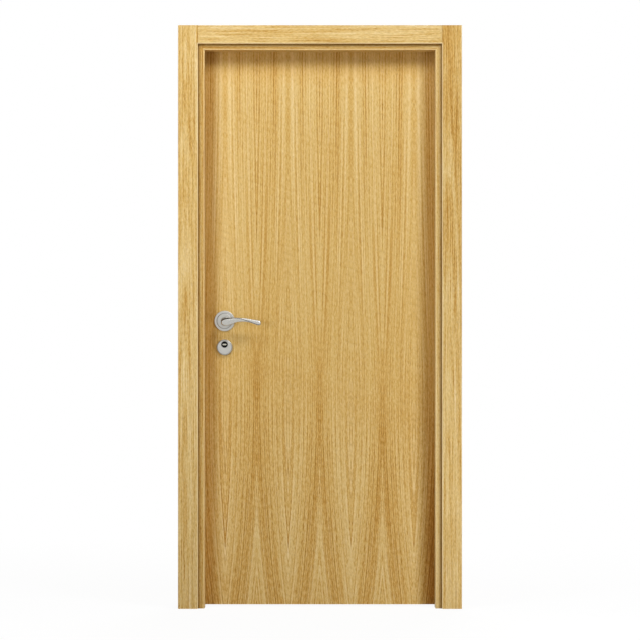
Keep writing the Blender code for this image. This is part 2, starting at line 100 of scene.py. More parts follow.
# Lever roses, in metres
ROSE_RADIUS = 0.0365
ROSE_DISC_RADIUS = 0.0265
ROSE_FLANGE = 0.005
ROSE_THICKNESS = 0.009
ROSE_BORE = 0.0122
ROSE_BORE_EDGE = 0.0006
ROSE_DISC_ROLL = 0.0016
ROSE_FLANGE_ROLL = 0.0022
ROSE_STEP_FILLET = 0.0008
ROSE_BACK = 0.0002
ROSE_STEP_SHADE = 0.0271
ROSE_STEPS = 96
SKIN_FIT = 0.0003

# Key roses and the cylinder, in metres: sections of (radius, height from the back of the rose), and of the
# cylinder's dished ends as (radius, depth)
KEY_ROSE_PROFILE = [
    (0.0280, 0.0000), (0.0280, 0.0050), (0.0277, 0.0062), (0.0271, 0.0071),
    (0.0262, 0.0077), (0.0253, 0.0080), (0.0243, 0.0080),
]
KEY_BORE_PROFILE = [(0.0122, 0.0080), (0.0118, 0.0078), (0.0116, 0.0072), (0.0116, 0.0000)]
KEY_ROSE_STEPS = 72
KEY_ROSE_STEP_SHADE = 0.0252
CYLINDER_RADIUS = 0.0112
CYLINDER_ROLL = 0.0007
CYLINDER_STEPS = 72
DISH_DEPTH = 0.0006
DISH_STEPS = [(0.0, DISH_DEPTH), (0.0090, DISH_DEPTH), (0.0094, 0.0001), (0.0098, 0.0)]
BAR_LENGTH = 0.0142
BAR_HEIGHT = 0.0050
BAR_PROUD = 0.0009
BAR_EDGE = 0.0003
BAR_STEPS = 24

# Screws: radii and places in metres, the forms of a head in shares of its radius, and turns in radians
HINGE_SCREW_RADIUS = 0.0038
LOCK_SCREW_RADIUS = 0.0034
HINGE_SCREWS = [(0.028, -0.037), (0.039, -0.014), (0.039, 0.014), (0.028, 0.037)]
HINGE_JAMB_PLATE = -0.0250
HINGE_LEAF_PLATE = -0.0300
LOCK_SCREW_INSET = 0.011
CROSS_REACH = 0.52
CROSS_PINCH = 0.55
CROSS_DEPTH = 0.42
HEAD_FACE = 0.94
HEAD_EDGE = 0.30
HEAD_SUNK = 0.34
FIRST_TURN = 0.5
NEXT_TURN = 0.9

# Camera: straight on, at the height of the picture's middle
CAMERA_HEIGHT = 1.017
CAMERA_DISTANCE = 7.40
PICTURE_WIDTH = 2.2528
SENSOR_WIDTH = 36.0


# Finishes

class Wire:
    """One output of a node. Sums on it add their Math nodes."""

    def __init__(self, finish, socket):
        self.finish = finish
        self.socket = socket

    def maths(self, operation, *values):
        inputs = dict(enumerate(values))
        return self.finish.node("ShaderNodeMath", {"operation": operation}, inputs)

    def __add__(self, other):
        return self.maths("ADD", self, other)

    def __radd__(self, other):
        return self.maths("ADD", other, self)

    def __sub__(self, other):
        return self.maths("SUBTRACT", self, other)

    def __rsub__(self, other):
        return self.maths("SUBTRACT", other, self)

    def __mul__(self, other):
        return self.maths("MULTIPLY", self, other)

    def __rmul__(self, other):
        return self.maths("MULTIPLY", other, self)

    def __truediv__(self, other):
        return self.maths("DIVIDE", self, other)

    def size(self):
        return self.maths("ABSOLUTE", self)

    def at_least(self, other):
        return self.maths("MAXIMUM", self, other)

    def at_most(self, other):
        return self.maths("MINIMUM", self, other)

    def softly_at_least(self, other, softness):
        """The greater of two numbers, with the change from one to the other rounded off."""
        return self.maths("SMOOTH_MAX", self, other, softness)

    def folded(self, width):
        return self.maths("PINGPONG", self, width)

    def repeated(self, width):
        return self.maths("FLOORED_MODULO", self, width)

    def root(self):
        return self.maths("SQRT", self)

    def between(self, start, end):
        """0 at the start and before it, 1 at the end and beyond it. The start may be higher than the end."""
        inputs = {"Value": self, "From Min": start, "From Max": end}
        return self.finish.node("ShaderNodeMapRange", {"clamp": True}, inputs)


# A layer of noise: its changes to the metre in three directions, its detail and roughness, and its strength
Grain = namedtuple("Grain", "across deep along detail roughness strength", defaults=(1.0,))


class Finish:
    """A material, or the light all round, in the making."""

    def __init__(self, name, collection=bpy.data.materials):
        self.made = collection.new(name)
        self.made.use_nodes = True
        self.tree = self.made.node_tree
        self.tree.nodes.clear()

    def node(self, kind, settings, inputs, output=0):
        made = self.tree.nodes.new(kind)
        for name, value in settings.items():
            if name == "stops":
                self.set_stops(made.color_ramp, value)
            else:
                setattr(made, name, value)
        for key, value in inputs.items():
            if isinstance(value, Wire):
                self.tree.links.new(value.socket, made.inputs[key])
            else:
                made.inputs[key].default_value = value
        return Wire(self, made.outputs[output]) if len(made.outputs) else made

    def set_stops(self, ramp, stops):
        while len(ramp.elements) < len(stops):
            ramp.elements.new(0.5)
        for element, (position, colour) in zip(ramp.elements, stops):
            element.position = position
            grey = not isinstance(colour, tuple)
            element.color = (colour, colour, colour, 1.0) if grey else (*colour, 1.0)

    def place(self):
        """The point of the surface as three numbers, in metres."""
        spot = self.node("ShaderNodeTexCoord", {}, {}, "Object")
        return [self.node("ShaderNodeSeparateXYZ", {}, {0: spot}, axis) for axis in "XYZ"]

    def grain(self, layer, across, deep, along):
        """Noise from 0 to 1 at a point, as fine in each direction as its layer says."""
        spot = {0: across * layer.across, 1: deep * layer.deep, 2: along * layer.along}
        point = self.node("ShaderNodeCombineXYZ", {}, spot)
        inputs = {"Vector": point, "Scale": 1.0, "Detail": layer.detail, "Roughness": layer.roughness}
        return self.node("ShaderNodeTexNoise", {"noise_dimensions": "3D"}, inputs)

    def waver(self, layer, across, deep, along):
        """The same noise as a change to either side of nothing, as strong as its layer says."""
        return (self.grain(layer, across, deep, along) - 0.5) * layer.strength

    def ramp(self, value, stops):
        return self.node("ShaderNodeValToRGB", {"stops": stops}, {0: value})

    def curve(self, distance, width, stops):
        """A change to either side of nothing, read off points of (distance, tone) over a width."""
        return self.ramp(distance / width, [(at / width, tone) for at, tone in stops]) - 0.5

    def blend(self, share, first, second, kind="MIX"):
        settings = {"data_type": "RGBA", "blend_type": kind}
        return self.node("ShaderNodeMix", settings, {0: share, 6: first, 7: second}, 2)

    def bump(self, height, distance, strength):
        inputs = {"Height": height, "Distance": distance, "Strength": strength}
        return self.node("ShaderNodeBump", {}, inputs)

    def shader(self, **inputs):
        named = {name.replace("_", " "): value for name, value in inputs.items()}
        return self.node("ShaderNodeBsdfPrincipled", {}, named)

    def done(self, shader, output="ShaderNodeOutputMaterial"):
        self.node(output, {}, {"Surface": shader})
        return self.made


# Oak from its dark pores to its pale bands
OAK_TONES = [
    (0.00, (0.260, 0.110, 0.015)),
    (0.25, (0.425, 0.206, 0.036)),
    (0.40, (0.615, 0.352, 0.088)),
    (0.50, (0.700, 0.470, 0.156)),
    (0.60, (0.770, 0.556, 0.232)),
    (0.78, (0.845, 0.655, 0.342)),
    (1.00, (0.935, 0.780, 0.490)),
]
PORE_BROWN = (0.340, 0.170, 0.040, 1.0)
# Painted highlight laid along the arrises of the casings and the lining
PAINTED_ARRIS_HIGHLIGHT = (0.960, 0.800, 0.480, 1.0)
# Dark of a joint line and of painted shade cast by the casings on the lining
DARK_JOINT_AND_SHADE = (0.140, 0.055, 0.008, 1.0)
# Painted shade: a darker, browner tone laid on the leaf beside and under the stop
PAINTED_SHADE_BROWN = (0.930, 0.740, 0.440, 1.0)

# Layers of oak's own grain, from broad to fine
OAK_BANDS = Grain(26.0, 26.0, 0.45, 2.0, 0.5, 0.14)
OAK_STREAKS = Grain(150.0, 150.0, 0.9, 2.0, 0.6, 0.34)
OAK_LINES = Grain(230.0, 230.0, 2.2, 1.0, 0.5, 0.085)
OAK_FLECKS = Grain(340.0, 340.0, 2.6, 2.0, 0.5, 0.56)
OAK_DASHES = Grain(560.0, 560.0, 80.0, 1.0, 0.6, 0.52)
OAK_THREADS = Grain(640.0, 640.0, 9.0, 2.0, 0.6, 0.82)
OAK_PORES = Grain(1500.0, 1500.0, 80.0, 1.0, 0.5, 0.50)
LINES_START = 7.0 / OAK_LINES.along
LINE_EDGE = (0.58, 0.72)
PORE_EDGE = (0.56, 0.70)
# How oak shines, and how far its pores lie below its threads
OAK_ROUGHNESS = 0.36
PORES_ROUGHEN = 0.20
THREADS_SMOOTH = 0.08
OAK_HEIGHTS = 0.6
OAK_RELIEF = 0.00018
OAK_BUMP = 0.55
OAK_SPECULAR = 0.10


def oak_colour(finish, rings, side, deep, along, figure, streaky=1.0, lively=1.0, fibre=1.0):
    """Oak whose growth rings follow one number and whose fibres follow another.

    The streaky and lively shares set how much its broad and its fine grain show, and fibre how long its
    fibres are. Gives the colour, the pores and the threads.
    """
    run = along / fibre
    lines = finish.grain(OAK_LINES, rings, deep, along + LINES_START).between(*LINE_EDGE)
    threads = finish.grain(OAK_THREADS, side, deep, run)
    pores = finish.grain(OAK_PORES, side, deep, along).between(*PORE_EDGE)
    bands = finish.waver(OAK_BANDS, rings, deep, along)
    streaks = finish.waver(OAK_STREAKS, rings, deep, run)
    flecks = finish.waver(OAK_FLECKS, side, deep, run)
    dashes = finish.waver(OAK_DASHES, side, deep, along)
    broad = bands + streaks - lines * OAK_LINES.strength
    fine = flecks + dashes + (threads - 0.5) * OAK_THREADS.strength
    colour = finish.ramp(broad * streaky + fine * lively + figure, OAK_TONES)
    return finish.blend(pores * OAK_PORES.strength, colour, PORE_BROWN), pores, threads


def oak_shader(finish, colour, pores, threads):
    height = (threads - pores) * OAK_HEIGHTS
    return finish.shader(
        Base_Color=colour,
        Roughness=OAK_ROUGHNESS + pores * PORES_ROUGHEN + (1.0 - threads) * THREADS_SMOOTH,
        Normal=finish.bump(height, OAK_RELIEF, OAK_BUMP),
        Specular_IOR_Level=OAK_SPECULAR,
    )


# Figure of one strip of veneer: distance over the rings from the seam, and tone
RING_LINES = [
    (0.0000, 0.520), (0.0120, 0.550), (0.0220, 0.470), (0.0300, 0.520), (0.0380, 0.555), (0.0490, 0.500),
    (0.0650, 0.490), (0.0755, 0.535), (0.0810, 0.505), (0.0860, 0.440), (0.0925, 0.490), (0.0970, 0.505),
    (0.1050, 0.460), (0.1110, 0.485), (0.1155, 0.535), (0.1200, 0.515), (0.1255, 0.530), (0.1340, 0.500),
    (FIGURE_WIDTH, 0.495),
]
RING_BANDS = [
    (0.0000, 0.545), (0.0570, 0.545), (0.0700, 0.475), (0.0810, 0.445), (0.1180, 0.435), (0.1215, 0.595),
    (0.1300, 0.590), (0.1430, 0.545), (FIGURE_WIDTH, 0.500),
]
# Bands over each pair of strips in the upper leaf: distance from the pair's left edge, and tone
PAIR_BANDS = [
    (0.000, 0.490), (0.015, 0.545), (0.035, 0.505), (0.055, 0.500), (0.080, 0.530), (0.110, 0.505),
    (0.150, 0.475), (0.175, 0.450), (0.195, 0.510), (PAIR_WIDTH, 0.490),
]
# Heights over which the leaf's looks come in, and for the painted shade along the leaf's right edge, darker
# towards the floor, also distances from the centre line
PALER_FROM = (0.90, 1.90)
FOOT_FIGURE_FROM = (0.68, 0.32)
PAIR_BANDS_FROM = (0.75, 1.05)
PAINTED_RIGHT_SHADE_FROM = (0.90, 0.25)
PAINTED_RIGHT_SHADE_BESIDE = (0.362, 0.392)
LIVELY_FOOT_FROM = (0.95, 0.50)
LIVELY_TOP_FROM = (1.30, 1.70)
# Distances from the stop over which painted shade makes the leaf darker and browner, where the frame shades
# it
PAINTED_SHADE_BESIDE_STOP = (0.060, 0.010)
PAINTED_SHADE_UNDER_STOP = (0.130, 0.010)
# The leaf's own tone, how much each of these changes it, and how its grain sways and clouds over
LEAF_TONE = 0.472
PALER_TONE = 0.058
RING_LINES_SHOW = 0.58
RING_LINES_SHOW_AT_FOOT = 0.50
RING_BANDS_SHOW_AT_FOOT = 1.2
PAIR_BANDS_SHOW = 0.7
PAINTED_RIGHT_SHADE_SHOWS = 0.15
PAINTED_SHADE_SHOWS = 0.55
LEAF_STREAKY = 0.13
LEAF_LIVELY = 0.77
LIVELIER_FOOT = 0.33
LIVELIER_TOP = 0.12
LEAF_SWAY = Grain(5.0, 1.0, 1.3, 2.0, 0.5, 0.003)
LEAF_CLOUDS = Grain(7.0, 1.0, 1.1, 2.0, 0.5, 0.12)


def leaf_figure(finish, x, z, rings):
    """Tone of the leaf: the lines of its growth rings, pointed at the floor, long bands above, and painted
    shade along its right edge near the floor.
    """
    at_foot = z.between(*FOOT_FIGURE_FROM)
    ring_lines = finish.curve(rings, FIGURE_WIDTH, RING_LINES)
    ring_bands = finish.curve(rings, FIGURE_WIDTH, RING_BANDS)
    pair_bands = finish.curve((x - FIRST_SEAM).repeated(PAIR_WIDTH), PAIR_WIDTH, PAIR_BANDS)
    # Painted shade: a darker band along the leaf's right edge that deepens towards the floor
    painted_right_shade = (x - DOOR_CENTRE).between(*PAINTED_RIGHT_SHADE_BESIDE) * z.between(*PAINTED_RIGHT_SHADE_FROM)
    tone = LEAF_TONE + PALER_TONE * z.between(*PALER_FROM)
    lines = ring_lines * (RING_LINES_SHOW + RING_LINES_SHOW_AT_FOOT * at_foot)
    bands = ring_bands * at_foot * RING_BANDS_SHOW_AT_FOOT
    long_bands = pair_bands * z.between(*PAIR_BANDS_FROM) * PAIR_BANDS_SHOW
    clouds = finish.waver(LEAF_CLOUDS, x, 0.0, z)
    return tone + lines + bands + long_bands + clouds - painted_right_shade * PAINTED_RIGHT_SHADE_SHOWS


def leaf_oak():
    """Narrow strips of veneer laid as mirrored pairs. Their grain meets in Vs at the floor."""
    finish = Finish("leaf_oak_veneer")
    x, y, z = finish.place()
    from_seam = (x - FIRST_SEAM).folded(STRIP_WIDTH)
    below = (WAIST_HEIGHT - z).at_least(0.0)
    above = UPPER_TURN - z
    foot = below * below * LOWER_SPREAD
    bow = UPPER_SHIFT - above * above * UPPER_SPREAD
    slant = foot.softly_at_least(bow, WAIST_SOFTNESS)
    fibre_slant = foot.softly_at_least(bow * FIBRE_LEAN, WAIST_SOFTNESS)
    rings = from_seam + slant + finish.waver(LEAF_SWAY, from_seam, 0.0, z)
    figure = leaf_figure(finish, x, z, rings)
    livelier = LIVELIER_FOOT * z.between(*LIVELY_FOOT_FROM) + LIVELIER_TOP * z.between(*LIVELY_TOP_FROM)
    colour, pores, threads = oak_colour(
        finish, rings, from_seam + fibre_slant, y, z + x * STRIP_STAGGER, figure,
        LEAF_STREAKY, LEAF_LIVELY + livelier, FIBRE_LENGTH,
    )
    # Painted shade: beside and under the stop the leaf is made darker and browner, where the frame shades it
    beside_stop = (STOP_HALF_WIDTH - (x - DOOR_CENTRE).size()).between(*PAINTED_SHADE_BESIDE_STOP)
    painted_stop_shade = beside_stop.at_least((STOP_HEIGHT - z).between(*PAINTED_SHADE_UNDER_STOP))
    colour = finish.blend(painted_stop_shade * PAINTED_SHADE_SHOWS, colour, PAINTED_SHADE_BROWN, "MULTIPLY")
    return finish.done(oak_shader(finish, colour, pores, threads))


# Solid oak: how its growth rings wander and arch
RING_WANDER = Grain(9.0, 9.0, 2.2, 2.0, 0.5)
CASING_BEND = 0.005
LINING_BEND = 0.008
LIPPING_BEND = 0.006
ARCH_LINES = Grain(130.0, 20.0, 0.2, 2.0, 0.6)
ARCH_TAPER = 0.034
CASING_STREAKY = 0.50
# Painted light: the casings are made paler towards their foot
PAINTED_LIGHT_CASING_FROM = (1.10, 0.40)
PAINTED_LIGHT_CASING_TONE = 0.030
LINING_HALF_WIDTH = 0.42
LIPPING_TONE = 0.50
# Its edges: distances in metres over which each begins, and how much each shows. The arrises carry painted
# highlights, and beside the casings the lining carries a dark joint line with painted shade over it
CASING_SKIN = (0.0012, 0.0006)
LINING_SKIN = (0.0010, 0.0004)
INNER_ARRIS = (0.0042, 0.0022)
OUTER_ARRIS = (0.0665, 0.0685)
JOINT_AND_SHADOW_LINE = (0.0040, 0.0020)
JOINT_SHADE = (0.0210, 0.0010)
CASING_HIGHLIGHT_SHOWS = 0.62
OUTER_HIGHLIGHT_SHOWS = 0.30
LINING_HIGHLIGHT_SHOWS = 0.50
JOINT_AND_SHADOW_LINE_SHOWS = 0.14
JOINT_SHADE_SHOWS = 0.42


def grain_rings(finish, side, deep, along, seed, bend):
    """A number that grows evenly from one growth ring to the next, along grain that wanders a little."""
    wander = finish.grain(RING_WANDER, side, deep + seed / RING_WANDER.deep, along) - 0.5
    return side + wander * bend + seed


def casing_oak(name, pith, start, seed, tone, upright=True, arching=0.62):
    """Oak cut near the heart of the log: its rings rise in pointed arches. The arrises carry a painted
    highlight.
    """
    finish = Finish(name)
    x, y, z = finish.place()
    side, along = (x, z) if upright else (z, x)
    offset = side - pith
    rise = (along - start) * ARCH_TAPER
    arches = (offset * offset + rise * rise).root()
    rings = grain_rings(finish, arches, y, along, seed, CASING_BEND)
    arch_lines = finish.grain(ARCH_LINES, rings, y, along) - 0.5
    # Painted light: paler towards the foot
    figure = tone + z.between(*PAINTED_LIGHT_CASING_FROM) * PAINTED_LIGHT_CASING_TONE + arch_lines * arching
    colour, pores, threads = oak_colour(finish, rings, side, y, along + seed, figure, CASING_STREAKY)
    from_middle = (x - DOOR_CENTRE).size()
    face = (CASING_FACE - y.size()).between(*CASING_SKIN)
    from_opening = (from_middle - CASING_HALF_WIDTH).at_least(z - CASING_HEIGHT)
    # Painted highlight along the casing's arrises
    inner = from_opening.between(*INNER_ARRIS)
    colour = finish.blend(face * inner * CASING_HIGHLIGHT_SHOWS, colour, PAINTED_ARRIS_HIGHLIGHT)
    if upright:
        outer = (from_middle - CASING_HALF_WIDTH).between(*OUTER_ARRIS)
        colour = finish.blend(face * outer * OUTER_HIGHLIGHT_SHOWS, colour, PAINTED_ARRIS_HIGHLIGHT)
    return finish.done(oak_shader(finish, colour, pores, threads))


def lining_oak(name, left_tone, right_tone, seed, upright=True):
    """Straight oak, with a dark joint line and painted shade where it meets the casings, and a painted
    highlight on the arris round the opening.
    """
    finish = Finish(name)
    x, y, z = finish.place()
    side, along = (x, z) if upright else (z, x)
    rings = grain_rings(finish, side, y, along, seed, LINING_BEND)
    rightwards = (x - DOOR_CENTRE).between(-LINING_HALF_WIDTH, LINING_HALF_WIDTH)
    figure = left_tone + (right_tone - left_tone) * rightwards
    colour, pores, threads = oak_colour(finish, rings, side, y, along + seed, figure)
    from_middle = (x - DOOR_CENTRE).size()
    face = (LINING_FACE - y.size()).between(*LINING_SKIN)
    # Painted shade: the lining darkens towards the casings, whose step shades it, over a thin dark joint line
    from_casing = (CASING_HALF_WIDTH - from_middle).at_most(CASING_HEIGHT - z)
    line = from_casing.between(*JOINT_AND_SHADOW_LINE) * JOINT_AND_SHADOW_LINE_SHOWS
    shade = from_casing.between(*JOINT_SHADE) * JOINT_SHADE_SHOWS
    colour = finish.blend(face * (line + shade), colour, DARK_JOINT_AND_SHADE)
    from_opening = (from_middle - STOP_HALF_WIDTH).at_least(z - STOP_HEIGHT)
    # Painted highlight along the lining's arris round the opening
    arris = from_opening.between(*INNER_ARRIS)
    colour = finish.blend(face * arris * LINING_HIGHLIGHT_SHOWS, colour, PAINTED_ARRIS_HIGHLIGHT)
    return finish.done(oak_shader(finish, colour, pores, threads))


def lipping_oak(seed):
    """Plain straight oak, as on the two long edges of the leaf."""
    finish = Finish("lipping_oak")
    x, y, z = finish.place()
    rings = grain_rings(finish, y, x, z, seed, LIPPING_BEND)
    colour, pores, threads = oak_colour(finish, rings, y, x, z + seed, LIPPING_TONE)
    return finish.done(oak_shader(finish, colour, pores, threads))


# Grain of what isn't wood or metal
COARSE_CHIPS = Grain(260.0, 520.0, 520.0, 3.0, 0.65)
FINE_CHIPS = Grain(1400.0, 1800.0, 1800.0, 2.0, 0.5)
RUBBER_SPECKLE = Grain(900.0, 900.0, 900.0, 2.0, 0.5)
RUBBER_WEAR = Grain(30.0, 30.0, 8.0, 2.0, 0.5)
PLASTIC_SPECKLE = Grain(1200.0, 1200.0, 1200.0, 2.0, 0.5)
CREASE_CLOUD = Grain(400.0, 400.0, 400.0, 2.0, 0.5)


def chipboard():
    finish = Finish("chipboard_core")
    x, y, z = finish.place()
    coarse = finish.grain(COARSE_CHIPS, x, y, z)
    fine = finish.grain(FINE_CHIPS, x, y, z)
    tone = coarse * 0.7 + fine * 0.3
    colour = finish.ramp(tone, [
        (0.30, (0.20, 0.115, 0.050)), (0.48, (0.42, 0.275, 0.140)), (0.66, (0.60, 0.450, 0.270)),
    ])
    normal = finish.bump(tone, 0.0006, 0.7)
    return finish.done(finish.shader(Base_Color=colour, Roughness=0.82, Normal=normal))


def seal_rubber():
    finish = Finish("seal_rubber")
    x, y, z = finish.place()
    speckle = finish.grain(RUBBER_SPECKLE, x, y, z)
    wear = finish.grain(RUBBER_WEAR, x, y, z)
    colour = finish.ramp(wear, [(0.30, (0.050, 0.030, 0.018)), (0.70, (0.085, 0.055, 0.034))])
    normal = finish.bump(speckle, 0.0001, 0.4)
    return finish.done(finish.shader(Base_Color=colour, Roughness=0.55 + speckle * 0.2, Normal=normal))


# Metals: pale and dark colour, and the lines that brushing or polishing leaves in them
NICKEL = ((0.600, 0.590, 0.550, 1.0), (0.440, 0.435, 0.405, 1.0))
STEEL = ((0.520, 0.512, 0.495, 1.0), (0.370, 0.366, 0.354, 1.0))
BAR_METAL = ((0.620, 0.600, 0.500, 1.0), (0.500, 0.480, 0.400, 1.0))
# Painted shade: a darker ring at the step of a rose
PAINTED_STEP_SHADE = (0.130, 0.135, 0.140, 1.0)
STEP_SHADE_EDGE = (0.0013, 0.0005)
STEP_SHADE_SHOWS = 0.75
BRUSHED = {
    "x": Grain(60.0, 2600.0, 2600.0, 2.0, 0.6, 0.3),
    "z": Grain(2600.0, 2600.0, 60.0, 2.0, 0.6, 0.3),
}
POLISHED = Grain(2400.0, 2400.0, 1.0, 2.0, 0.6, 0.4)
BRUSHED_CLOUD = Grain(55.0, 55.0, 55.0, 3.0, 0.55)
POLISHED_CLOUD = Grain(70.0, 70.0, 70.0, 3.0, 0.55)
LINE_RELIEF = 0.00001
CLOUD_ROUGHENS = 0.14
LINES_ROUGHEN = 0.2


def metal_shader(finish, colour, roughness, lines, cloud, relief):
    """Metal whose shine follows its fine lines and a faint cloudiness."""
    return finish.shader(
        Base_Color=colour,
        Metallic=1.0,
        Roughness=roughness + (cloud - 0.5) * CLOUD_ROUGHENS + (lines - 0.5) * (relief * LINES_ROUGHEN),
        Normal=finish.bump(lines, LINE_RELIEF, relief),
    )


def satin_metal(name, metal, roughness, along="z"):
    """Brushed metal, with its fine lines along one direction."""
    finish = Finish(name)
    pale, dark = metal
    brushed = BRUSHED[along]
    x, y, z = finish.place()
    lines = finish.grain(brushed, x, y, z)
    cloud = finish.grain(BRUSHED_CLOUD, x, y, z)
    colour = finish.blend(lines * 0.5 + cloud * 0.5, dark, pale)
    return finish.done(metal_shader(finish, colour, roughness, lines, cloud, brushed.strength))


def turned_metal(name, metal, roughness, centre, shade_radius):
    """Satin metal with the fine circles of polishing round a centre, and a ring of painted shade at its step.
    """
    finish = Finish(name)
    pale, dark = metal
    x, y, z = finish.place()
    right = x - centre.x
    up = z - centre.z
    radius = (right * right + up * up).root()
    circles = finish.grain(POLISHED, radius, y, 0.0)
    cloud = finish.grain(POLISHED_CLOUD, x, y, z)
    colour = finish.blend(circles * 0.4 + cloud * 0.6, dark, pale)
    # Painted shade: a darker ring at the rose's step
    in_step_shade = (radius - shade_radius).size().between(*STEP_SHADE_EDGE)
    colour = finish.blend(in_step_shade * STEP_SHADE_SHOWS, colour, PAINTED_STEP_SHADE)
    return finish.done(metal_shader(finish, colour, roughness, circles, cloud, POLISHED.strength))


def black_plastic():
    finish = Finish("cylinder_black")
    x, y, z = finish.place()
    speckle = finish.grain(PLASTIC_SPECKLE, x, y, z)
    colour = finish.ramp(speckle, [(0.3, (0.004, 0.004, 0.004)), (0.7, (0.009, 0.008, 0.008))])
    return finish.done(finish.shader(
        Base_Color=colour,
        Roughness=0.42 + speckle * 0.15,
        Normal=finish.bump(speckle, 0.00004, 0.5),
        Specular_IOR_Level=0.12,
    ))


def dark_crease():
    """The shaded bottom of the crease along the lever."""
    finish = Finish("crease_shadow")
    x, y, z = finish.place()
    cloud = finish.grain(CREASE_CLOUD, x, y, z)
    colour = finish.ramp(cloud, [(0.3, (0.020, 0.019, 0.017)), (0.7, (0.045, 0.043, 0.040))])
    return finish.done(finish.shader(Base_Color=colour, Metallic=1.0, Roughness=0.55 + cloud * 0.1))


# Modelling

MERGE_DISTANCE = 1e-6
SHARP_ANGLE = 38.0
NONE_SHARP = 180.0


def piece(name, shape, finishes, body, sharp=SHARP_ANGLE):
    """Turns a finished bmesh into an object of the scene that rides on a body.

    Edges that turn more than the sharp angle stay sharp.
    """
    bmesh.ops.remove_doubles(shape, verts=shape.verts, dist=MERGE_DISTANCE)
    bmesh.ops.recalc_face_normals(shape, faces=shape.faces)
    mesh = bpy.data.meshes.new(name)
    for face in shape.faces:
        face.smooth = True
    for edge in shape.edges:
        edge.smooth = edge.calc_face_angle(0.0) < radians(sharp)
    shape.to_mesh(mesh)
    shape.free()
    made = bpy.data.objects.new(name, mesh)
    bpy.context.scene.collection.objects.link(made)
    for finish in finishes:
        mesh.materials.append(finish)
    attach(made, body)
    return made


def take_in(shape, other):
    """Adds the whole of another bmesh to a shape."""
    mesh = bpy.data.meshes.new("taken_in")
    other.to_mesh(mesh)
    other.free()
    shape.from_mesh(mesh)
    bpy.data.meshes.remove(mesh)


def chain(shape, points):
    """A row of vertices joined by edges."""
    row = [shape.verts.new(point) for point in points]
    return row + [shape.edges.new(pair) for pair in zip(row, row[1:])]


def turned(profile, centre, base, facing, steps):
    """Spins a profile of (radius, height) about an axis through the door. Heights go outwards from base."""
    shape = bmesh.new()
    points = [(centre.x + radius, base + facing * height, centre.z) for radius, height in profile]
    line = chain(shape, points)
    bmesh.ops.spin(
        shape, geom=line, cent=(centre.x, 0.0, centre.z), axis=(0.0, 1.0, 0.0),
        angle=2.0 * pi, steps=steps, use_merge=True,
    )
    return shape


def arc(centre, radius, start, stop, steps):
    """Points of (radius, height) on a circle in the profile, angles in degrees."""
    turns = [radians(start + (stop - start) * step / steps) for step in range(steps + 1)]
    return [(centre[0] + radius * cos(turn), centre[1] + radius * sin(turn)) for turn in turns]


def rolled_rim(radius, height, roll, steps):
    """The quarter circle that rounds off the outer rim of a turned form."""
    return arc((radius - roll, height - roll), roll, 90, 0, steps)


# Roses and cylinder

def lever_rose(side, base, facing, finish):
    """A round rose in two steps: a thin flange, and a raised disc with a softly rounded rim."""
    profile = [
        (ROSE_BORE, ROSE_BACK), (ROSE_BORE, ROSE_THICKNESS - ROSE_BORE_EDGE),
        (ROSE_BORE + ROSE_BORE_EDGE, ROSE_THICKNESS),
    ]
    profile += rolled_rim(ROSE_DISC_RADIUS, ROSE_THICKNESS, ROSE_DISC_ROLL, 6)
    step = (ROSE_DISC_RADIUS + ROSE_STEP_FILLET, ROSE_FLANGE + ROSE_STEP_FILLET)
    profile += arc(step, ROSE_STEP_FILLET, 180, 270, 4)
    profile += rolled_rim(ROSE_RADIUS, ROSE_FLANGE, ROSE_FLANGE_ROLL, 8)
    profile += [(ROSE_RADIUS, ROSE_BACK), (ROSE_BORE, ROSE_BACK)]
    shape = turned(profile, LEVER_AXIS, base, facing, ROSE_STEPS)
    made = piece(side + "_rose_form", shape, [finish], "leaf")
    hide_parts(side + "_lever_rose")
    return made


def key_rose(side, base, facing, finish):
    """A round cover with a rolled rim, set low on the cylinder, so that its bore isn't in its middle.

    The columns of a grid go round the cover. Its rows go round the cover's section and meet again.
    """
    rings = [(KEY_CENTRE, radius, height) for radius, height in KEY_ROSE_PROFILE]
    rings += [(CYLINDER_CENTRE, radius, height) for radius, height in KEY_BORE_PROFILE]
    shape = bmesh.new()
    bmesh.ops.create_grid(shape, x_segments=KEY_ROSE_STEPS, y_segments=len(rings), size=1.0)
    for vertex in shape.verts:
        turn = (vertex.co.x + 1.0) * pi
        row = round((vertex.co.y + 1.0) / 2.0 * len(rings))
        centre, radius, height = rings[row % len(rings)]
        across = centre.x + radius * cos(turn)
        vertex.co = (across, base + facing * height, centre.z + radius * sin(turn))
    made = piece(side + "_key_rose_form", shape, [finish], "leaf")
    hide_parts(side + "_key_rose")
    return made


def key_cylinder(finish):
    """The cylinder through the leaf: a turned body with a rolled rim and a shallow dish at both ends."""
    low, high = (corner.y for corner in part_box("key_cylinder"))
    middle = (low + high) / 2.0
    half = (high - low) / 2.0
    face = [(radius, half - depth) for radius, depth in DISH_STEPS]
    face += rolled_rim(CYLINDER_RADIUS, half, CYLINDER_ROLL, 4)
    mirrored = [(radius, -height) for radius, height in reversed(face)]
    shape = turned(face + mirrored, CYLINDER_CENTRE, middle, -1.0, CYLINDER_STEPS)
    made = piece("key_cylinder_form", shape, [finish], "leaf")
    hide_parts("key_cylinder")
    return made


